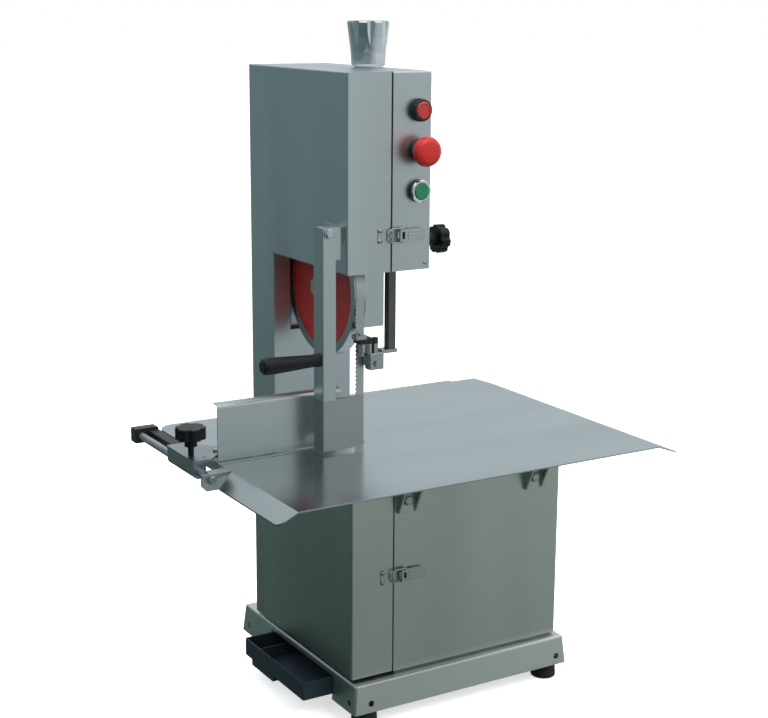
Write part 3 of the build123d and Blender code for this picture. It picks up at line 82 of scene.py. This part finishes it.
# ---- material tools ----
class Graph:
    """A small helper to wire shader nodes."""

    def __init__(self, name):
        self.material = bpy.data.materials.new(name)
        self.material.use_nodes = True
        self.tree = self.material.node_tree
        self.bsdf = self.tree.nodes["Principled BSDF"]

    def node(self, kind, inputs=None, **props):
        made = self.tree.nodes.new("ShaderNode" + kind)
        for key, value in props.items():
            setattr(made, key, value)
        for key, value in (inputs or {}).items():
            self.feed(made.inputs[key], value)
        return made

    def feed(self, socket, value):
        if isinstance(value, bpy.types.NodeSocket):
            self.tree.links.new(value, socket)
        else:
            socket.default_value = value

    def place(self, scale=(1, 1, 1)):
        coords = self.node("TexCoord").outputs["Object"]
        return self.node("Mapping", {"Vector": coords, "Scale": scale}).outputs["Vector"]

    def noise(self, scale, stretch=(1, 1, 1), detail=3.0, rough=0.55):
        return self.node("TexNoise", {"Vector": self.place(stretch), "Scale": scale, "Detail": detail,
                                      "Roughness": rough}).outputs["Fac"]

    def math(self, kind, a, b=0.0):
        return self.node("Math", {0: a, 1: b}, operation=kind).outputs[0]

    def remap(self, value, low, high, to_low=0.0, to_high=1.0):
        return self.node("MapRange", {"Value": value, "From Min": low, "From Max": high,
                                      "To Min": to_low, "To Max": to_high}).outputs["Result"]

    def blend(self, factor, a, b):
        mix = self.node("Mix", data_type="RGBA")
        self.feed(mix.inputs[0], factor)
        self.feed(mix.inputs[6], a)
        self.feed(mix.inputs[7], b)
        return mix.outputs[2]

    def bump(self, height, strength, distance, edge=0.0):
        """Fine relief; with an edge radius, sharp corners are also rounded in the shading."""
        relief = self.node("Bump", {"Height": height, "Strength": strength, "Distance": distance})
        if edge:
            rounded = self.node("Bevel", {"Radius": edge}, samples=4)
            self.feed(relief.inputs["Normal"], rounded.outputs["Normal"])
        self.feed(self.bsdf.inputs["Normal"], relief.outputs["Normal"])

    def between(self, value, low, high):
        """1 where low < value < high, and 0 elsewhere."""
        above = self.math("GREATER_THAN", value, low)
        return self.math("MULTIPLY", above, self.math("LESS_THAN", value, high))

    def set(self, **values):
        for key, value in values.items():
            self.feed(self.bsdf.inputs[key.replace("_", " ")], value)
        return self.material


def rgb(r, g, b):
    return (r, g, b, 1.0)


def scaled(colour, k):
    return rgb(*(min(1.0, c * k) for c in colour[:3]))


def brushed(name, colour, grain, roughness, streak=0.028):
    """Brushed stainless sheet with broad painted sheen bands. grain is the axis that the brushing runs
    along.
    """
    g = Graph(name)
    long_way = [1.0, 1.0, 1.0]
    long_way["xyz".index(grain)] = GRAIN_STRETCH
    fine = g.noise(900.0, long_way, detail=2.0)
    broad = g.noise(110.0, long_way, detail=3.0)
    smear = g.noise(5.5, detail=5.0, rough=0.6)
    marks = g.noise(38.0, (1, 1, 1.6), detail=6.0, rough=0.7)
    streaks = g.math("ADD", g.math("MULTIPLY", fine, 0.55), g.math("MULTIPLY", broad, 0.45))
    grain_and_sheen = g.blend(g.remap(streaks, 0.32, 0.68), scaled(colour, 1 - streak),
                    scaled(colour, 1 + streak))
    # painted sheen: broad soft bands along the grain darken the colour by up to 14%, standing in for
    # reflection gradients on the sheet
    wide_way = [1.0, 1.0, 1.0]
    wide_way["xyz".index(grain)] = PAINTED_SHEEN_STRETCH
    painted_sheen = g.noise(8.0, wide_way, detail=1.5, rough=0.4)
    grain_and_sheen = g.blend(g.remap(painted_sheen, 0.36, 0.66), scaled(colour, 0.86), grain_and_sheen)
    cool = rgb(*(c * t for c, t in zip(colour, COOL_TINT)))
    tone = g.blend(g.remap(smear, 0.35, 0.68, 0.0, CLOUD * 3), grain_and_sheen, scaled(cool, 1 - CLOUD))
    rough = g.math("ADD", g.remap(streaks, 0.3, 0.7, roughness - 0.02, roughness + 0.03),
                   g.remap(marks, 0.35, 0.75, -0.015, 0.03))
    g.bump(fine, 0.03, 0.0002, edge=0.0007)
    return g.set(Base_Color=tone, Metallic=1.0, Roughness=rough)


def bare_metal(name, colour, roughness, speck=0.06):
    """Machined, plated or drawn metal without a brushed grain."""
    g = Graph(name)
    grain = g.noise(260.0, detail=4.0)
    stain = g.noise(24.0, detail=5.0, rough=0.65)
    tone = g.blend(g.remap(stain, 0.4, 0.7), scaled(colour, 1 + speck),
                   scaled(colour, 1 - 2 * speck))
    g.bump(grain, 0.02, 0.0002, edge=0.0004)
    return g.set(Base_Color=tone, Metallic=1.0,
                 Roughness=g.remap(grain, 0.3, 0.7, roughness - 0.02, roughness + 0.04))


def plastic(name, colour, roughness, grain_scale=900.0, grain=0.25, wear=0.35, shine=0.5):
    """Moulded plastic, rubber or enamel: fine grain, dust and slight rubbing."""
    g = Graph(name)
    pebble = g.node("TexVoronoi", {"Vector": g.place(), "Scale": grain_scale}).outputs["Distance"]
    dust = g.noise(45.0, detail=6.0, rough=0.7)
    dusty = rgb(*(c * 0.85 + 0.012 for c in colour[:3]))
    tone = g.blend(g.remap(dust, 0.45, 0.75, 0.0, wear), colour, dusty)
    g.bump(pebble, grain * 0.4, 0.0002, edge=0.0004)
    return g.set(Base_Color=tone, Specular_IOR_Level=shine,
                 Roughness=g.remap(dust, 0.3, 0.7, roughness - 0.06, roughness + 0.1))


def bezel_mix(name):
    """Black control bodies; the start button's front ring and the stop button's collar are chromed."""
    g = Graph(name)
    _, y, z = g.node("SeparateXYZ", {"Vector": g.place()}).outputs
    ring = g.math("MULTIPLY", g.between(z, *START_RING_Z), g.math("LESS_THAN", y, START_RING_FRONT_Y))
    collar = g.math("MULTIPLY", g.between(z, *STOP_COLLAR_Z),
                    g.math("LESS_THAN", y, STOP_COLLAR_FRONT_Y))
    bright = g.math("MAXIMUM", ring, collar)
    dust = g.noise(60.0, detail=5.0, rough=0.65)
    black = g.blend(g.remap(dust, 0.4, 0.75), rgb(0.008, 0.008, 0.009), rgb(0.016, 0.017, 0.018))
    g.bump(dust, 0.04, 0.0002)
    return g.set(Base_Color=g.blend(bright, black, rgb(0.78, 0.79, 0.80)), Metallic=bright,
                 Roughness=g.remap(bright, 0.0, 1.0, 0.34, 0.13))


def guide_mix(name):
    """Bright guide block and cap; the yoke over the pins is blackened."""
    g = Graph(name)
    _, _, z = g.node("SeparateXYZ", {"Vector": g.place()}).outputs
    dark = g.between(z, *YOKE_Z)
    grain = g.noise(200.0, detail=4.0)
    steel = g.blend(g.remap(grain, 0.35, 0.7), rgb(0.50, 0.51, 0.51), rgb(0.42, 0.43, 0.43))
    g.bump(grain, 0.02, 0.0002, edge=0.0004)
    return g.set(Base_Color=g.blend(dark, steel, rgb(0.012, 0.013, 0.014)),
                 Metallic=g.remap(dark, 0, 1, 1, 0),
                 Roughness=g.remap(dark, 0.0, 1.0, 0.26, 0.42))


def scale_mix(name):
    """Black scale bar with pale engraved ticks."""
    g = Graph(name)
    x, _, z = g.node("SeparateXYZ", {"Vector": g.place()}).outputs
    tick = g.math("MULTIPLY", g.between(z, *SCALE_TICK_Z), g.between(x, *SCALE_TICK_X))
    grain = g.noise(500.0, detail=3.0)
    g.bump(grain, 0.05, 0.0002, edge=0.0004)
    body = g.blend(grain, rgb(0.010, 0.011, 0.012), rgb(0.018, 0.019, 0.020))
    return g.set(Base_Color=g.blend(tick, body, rgb(0.75, 0.76, 0.76)),
                 Roughness=g.remap(grain, 0.3, 0.7, 0.36, 0.46))


def gloss(name, colour, roughness, coat=0.6):
    """Smooth moulded caps with a thin clear coat."""
    g = Graph(name)
    smear = g.noise(60.0, detail=4.0)
    tone = g.blend(g.remap(smear, 0.4, 0.7), colour, scaled(colour, 0.88))
    return g.set(Base_Color=tone, Roughness=g.remap(smear, 0.35, 0.7, roughness, roughness + 0.12),
                 Coat_Weight=coat, Coat_Roughness=0.08)


def wheel_paint(name, centre_z):
    """Red painted web inside a bare turned rim; the paint ends at the rim's step."""
    g = Graph(name)
    _, y, z = g.node("SeparateXYZ", {"Vector": g.place()}).outputs
    dy, dz = g.math("ADD", y, -WHEEL_AXIS_Y), g.math("SUBTRACT", z, centre_z)
    radius = g.math("SQRT", g.math("ADD", g.math("MULTIPLY", dy, dy), g.math("MULTIPLY", dz, dz)))
    mottle = g.noise(70.0, detail=6.0, rough=0.6)
    red = g.blend(g.remap(mottle, 0.35, 0.7), rgb(0.46, 0.034, 0.028), rgb(0.34, 0.022, 0.020))
    turned = g.noise(40.0, detail=3.0)
    steel = g.blend(turned, rgb(0.46, 0.47, 0.47), rgb(0.60, 0.61, 0.61))
    bare = g.math("GREATER_THAN", radius, PAINT_RADIUS)
    hub = g.math("LESS_THAN", radius, HUB_RADIUS)
    metal = g.math("MAXIMUM", bare, hub)
    outward = g.node("CombineXYZ", {"X": g.math("MULTIPLY", radius, 900.0)}).outputs[0]
    rings = g.node("TexNoise", {"Vector": outward, "Scale": 1.0}).outputs["Fac"]
    height = g.math("ADD", g.math("MULTIPLY", rings, metal), g.math("MULTIPLY", mottle, 0.6))
    g.bump(height, 0.12, 0.0004)
    return g.set(Base_Color=g.blend(metal, red, steel), Metallic=metal,
                 Roughness=g.remap(metal, 0.0, 1.0, 0.34, 0.30))


def lamp_red(name):
    """Clear red lens with moulded prisms behind its face."""
    g = Graph(name)
    cells = g.node("TexVoronoi", {"Vector": g.place(), "Scale": 420.0}).outputs["Distance"]
    tone = g.blend(g.remap(cells, 0.1, 0.7), rgb(0.62, 0.014, 0.014), rgb(0.40, 0.008, 0.010))
    g.bump(cells, 0.12, 0.0004)
    return g.set(Base_Color=tone, Roughness=0.14, Coat_Weight=0.8, Coat_Roughness=0.05)


HEAD = brushed("steel_head", rgb(0.67, 0.71, 0.72), "z", 0.36)
BASE = brushed("steel_base", rgb(0.59, 0.62, 0.59), "z", 0.36)
INNER = brushed("steel_inner", rgb(0.78, 0.76, 0.72), "z", 0.52)
PAN = brushed("steel_pan", rgb(0.66, 0.685, 0.65), "x", 0.38)
TABLE = brushed("steel_table", rgb(0.55, 0.61, 0.625), "x", 0.20, streak=0.03)
FENCE = brushed("steel_fence", rgb(0.64, 0.665, 0.66), "x", 0.30, streak=0.03)
PUSHER = brushed("steel_pusher", rgb(0.60, 0.635, 0.645), "z", 0.30)
# painted shade: the shoe is the pusher's steel painted darker and browner, standing in for a dark
# reflection along its lower front
SHOE_PAINTED_DARK = brushed("steel_shoe_painted_shade", rgb(0.47, 0.465, 0.46), "z", 0.32)
RAIL = bare_metal("steel_rail", rgb(0.50, 0.53, 0.56), 0.30)
TURNED = bare_metal("steel_turned", rgb(0.58, 0.58, 0.57), 0.28)
GUIDE = bare_metal("steel_guide", rgb(0.60, 0.61, 0.61), 0.20)
BAR = bare_metal("steel_bar", rgb(0.17, 0.18, 0.18), 0.48)
CARRIAGE = bare_metal("steel_carriage", rgb(0.40, 0.43, 0.46), 0.34)
HOLDER = guide_mix("guide_block")
BEZELS = bezel_mix("bezels")
BLADE = bare_metal("steel_blade", rgb(0.55, 0.57, 0.57), 0.36, speck=0.02)
CHROME = bare_metal("chrome_plate", rgb(0.80, 0.815, 0.84), 0.09, speck=0.02)
LATCH = bare_metal("latch_plate", rgb(0.52, 0.54, 0.54), 0.24, speck=0.03)
SCREW = bare_metal("screw_zinc", rgb(0.46, 0.47, 0.47), 0.30)
MOTOR = plastic("motor_enamel", rgb(0.16, 0.19, 0.22), 0.5, grain=0.4)
BLACK = plastic("plastic_black", rgb(0.006, 0.007, 0.008), 0.33, grain=0.1, wear=0.15, shine=0.28)
SCALE = scale_mix("scale_black")
RUBBER = plastic("rubber_black", rgb(0.012, 0.012, 0.013), 0.62, grain_scale=500.0, grain=0.4)
BELT = plastic("belt_rubber", rgb(0.02, 0.02, 0.02), 0.7, grain_scale=700.0, grain=0.6)
DRAWER = plastic("drawer_slate", rgb(0.018, 0.030, 0.042), 0.46, wear=0.3)
WHITE = plastic("scraper_white", rgb(0.72, 0.71, 0.66), 0.5)
STOP = gloss("stop_red", rgb(0.56, 0.020, 0.014), 0.30, coat=0.25)
GREEN = gloss("start_green", rgb(0.0, 0.20, 0.085), 0.22)
LENS = lamp_red("lamp_red")

LOOKS = {
    HEAD: ["head_frame", "upper_cover", "pusher_hinge"],
    BASE: ["lower_cabinet", "lower_door", "table_brackets", "cabinet_hinges", "motor_shelf",
           "lower_bulkhead"],
    INNER: ["upper_bulkhead", "tension_carriage"],
    PAN: ["base_pan"],
    TABLE: ["worktable", "blade_insert"],
    FENCE: ["fence_plate"],
    PUSHER: ["pusher_arm"],
    # the shoe's darker steel is painted shade and painted reflection
    SHOE_PAINTED_DARK: ["pusher_shoe"],
    RAIL: ["rail_rod", "rail_bracket"],
    GUIDE: ["guide_pins", "thrust_bearing"],
    CARRIAGE: ["fence_carriage"],
    BAR: ["guide_bar"],
    HOLDER: ["guide_holder"],
    BEZELS: ["button_bezels"],
    TURNED: ["lower_shaft", "lower_bearings", "bearing_housing", "driven_pulley", "motor_pulley",
             "upper_axle", "upper_bearings", "tension_screw", "disc_springs"],
    BLADE: ["saw_blade"],
    CHROME: ["tension_knob"],
    LATCH: ["upper_latch_lever", "upper_latch_loop", "upper_latch_catch", "lower_latch_lever",
            "lower_latch_loop", "lower_latch_catch", "latch_bases"],
    SCREW: ["fixing_screws"],
    MOTOR: ["motor_body"],
    BLACK: ["guide_clamp_knob", "fence_clamp_knob", "pusher_handle", "contact_blocks", "cable_gland"],
    SCALE: ["scale_bar"],
    RUBBER: ["rubber_feet"],
    BELT: ["drive_belt"],
    DRAWER: ["bone_dust_drawer"],
    WHITE: ["blade_scrapers"],
    STOP: ["stop_head"],
    GREEN: ["start_cap"],
    LENS: ["lamp_lens"],
    wheel_paint("wheel_red_upper", UPPER_WHEEL_Z): ["upper_wheel"],
    wheel_paint("wheel_red_lower", LOWER_WHEEL_Z): ["lower_wheel"],
}


def dress():
    for look, names in LOOKS.items():
        for name in names:
            for slot in nodes[name].material_slots:
                slot.material = look


# ---- pieces made here ----
def seam_shade_strip(name, face_y, seam_x, z_low, z_high):
    """A black rubber strip in the gap between two sheet edges, round-edged and slightly uneven in
    depth: a dark piece set in the seam as painted shade.
    """
    x_low, x_high = seam_x - SEAM_SHADE_LEFT, seam_x - SEAM_SHADE_RIGHT
    depth, corner = SEAM_SHADE_DEPTH, SEAM_SHADE_CORNER
    mesh = bmesh.new()
    rings = []
    for k in range(SEAM_SHADE_ROWS + 1):
        z = z_low + (z_high - z_low) * k / SEAM_SHADE_ROWS
        uneven = 0.00012 * math.sin(k * 0.9) + 0.00008 * math.sin(k * 2.3 + 1.0)
        front = face_y + SEAM_SHADE_INSET + uneven
        outline = ((x_low, front + depth), (x_low, front + corner), (x_low + corner, front),
                   (x_high - corner, front), (x_high, front + corner), (x_high, front + depth))
        rings.append([mesh.verts.new((x, y, z)) for x, y in outline])
    count = len(rings[0])
    for below, above in zip(rings, rings[1:]):
        for k in range(count):
            after = (k + 1) % count
            mesh.faces.new((below[k], below[after], above[after], above[k]))
    mesh.faces.new(list(reversed(rings[0])))
    mesh.faces.new(rings[-1])
    bmesh.ops.recalc_face_normals(mesh, faces=mesh.faces)
    data = bpy.data.meshes.new(name)
    mesh.to_mesh(data)
    mesh.free()
    data.materials.append(RUBBER)
    strip = bpy.data.objects.new(name, data)
    scene.collection.objects.link(strip)
    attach(strip, "machine")


def add_seam_shade_strips():
    """Black strips in the seams between the fixed housings and what opens on them, darkening the seams
    as painted shade.
    """
    frame_low, frame_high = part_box("head_frame")
    cover_low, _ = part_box("upper_cover")
    door_low, door_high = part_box("lower_door")
    seam_x = frame_low[0]
    seam_shade_strip("head_seam_shade", cover_low[1], seam_x, HEAD_BOTTOM + SEAM_SHADE_FOOT, frame_high[2] - SEAM_SHADE_HEAD)
    seam_shade_strip("cabinet_seam_shade", door_low[1], seam_x, door_low[2] + SEAM_SHADE_FOOT, door_high[2] - SEAM_SHADE_HEAD)


# ---- stage and light ----
def add_floor():
    """A pale floor that shows only to the camera, so it lends the metal no light."""
    bpy.ops.mesh.primitive_plane_add(size=60, location=(0, 0, -0.0005))
    floor = bpy.context.object
    floor.name = "floor"
    g = Graph("floor_pale")
    paper = g.noise(3.0)
    g.set(Base_Color=g.blend(paper, rgb(0.90, 0.905, 0.905), rgb(0.92, 0.925, 0.925)), Roughness=0.9,
          Emission_Color=rgb(1, 1, 1), Emission_Strength=0.62)
    floor.data.materials.append(g.material)
    floor.visible_glossy = False
    floor.visible_diffuse = False


def add_world():
    """A soft studio: brighter to the right and overhead, dimmer to the left and below."""
    world = bpy.data.worlds.new("studio")
    world.use_nodes = True
    scene.world = world
    tree = world.node_tree
    background = tree.nodes["Background"]

    def node(kind, inputs=None, **props):
        made = tree.nodes.new("ShaderNode" + kind)
        for key, value in props.items():
            setattr(made, key, value)
        for key, value in (inputs or {}).items():
            if isinstance(value, bpy.types.NodeSocket):
                tree.links.new(value, made.inputs[key])
            else:
                made.inputs[key].default_value = value
        return made

    def ramp(value, low, high):
        return node("MapRange", {"Value": value, "From Min": low, "From Max": high},
                    interpolation_type="SMOOTHSTEP").outputs["Result"]

    def mix(factor, a, b):
        made = node("Mix", {0: factor, 6: a, 7: b}, data_type="RGBA")
        return made.outputs[2]

    x, _, z = node("SeparateXYZ", {"Vector": node("TexCoord").outputs["Generated"]}).outputs
    side, height, above = ramp(x, -0.55, 0.55), ramp(z, -0.45, -0.02), ramp(z, 0.35, 0.9)
    # The camera sees plain white behind the saw; only reflections and light see the studio.
    left = mix(height, rgb(0.035, 0.060, 0.045), rgb(0.15, 0.225, 0.24))
    right = mix(height, rgb(0.22, 0.27, 0.245), rgb(0.60, 0.65, 0.67))
    around = mix(side, left, right)
    light = mix(above, around, rgb(1.15, 1.17, 1.2))
    seen = node("LightPath").outputs["Is Camera Ray"]
    tree.links.new(mix(seen, light, rgb(1.0, 1.0, 1.0)), background.inputs["Color"])


def add_softbox(name, place, aim, size, power, colour=(1, 1, 1)):
    """A rectangular soft light that does not show in reflections."""
    data = bpy.data.lights.new(name, "AREA")
    data.shape, data.size, data.size_y = "RECTANGLE", size[0], size[1]
    data.energy, data.color = power, colour
    lamp = bpy.data.objects.new(name, data)
    lamp.location = place
    lamp.visible_glossy = False
    lamp.rotation_euler = (Vector(aim) - Vector(place)).to_track_quat("-Z", "Y").to_euler()
    scene.collection.objects.link(lamp)


add_camera()
dress()
add_seam_shade_strips()
add_floor()
add_world()
add_softbox("key", (0.4, -2.6, 2.9), (0, 0, 0.5), (1.8, 1.8), 62)
add_softbox("top", (-0.2, 0.2, 3.2), (0, 0, 0.4), (2.4, 2.4), 60)
add_softbox("fill", (-3.0, -0.8, 1.6), (0, 0, 0.5), (1.6, 2.2), 14, (0.93, 1.0, 1.0))
scene.view_settings.view_transform = "Standard"
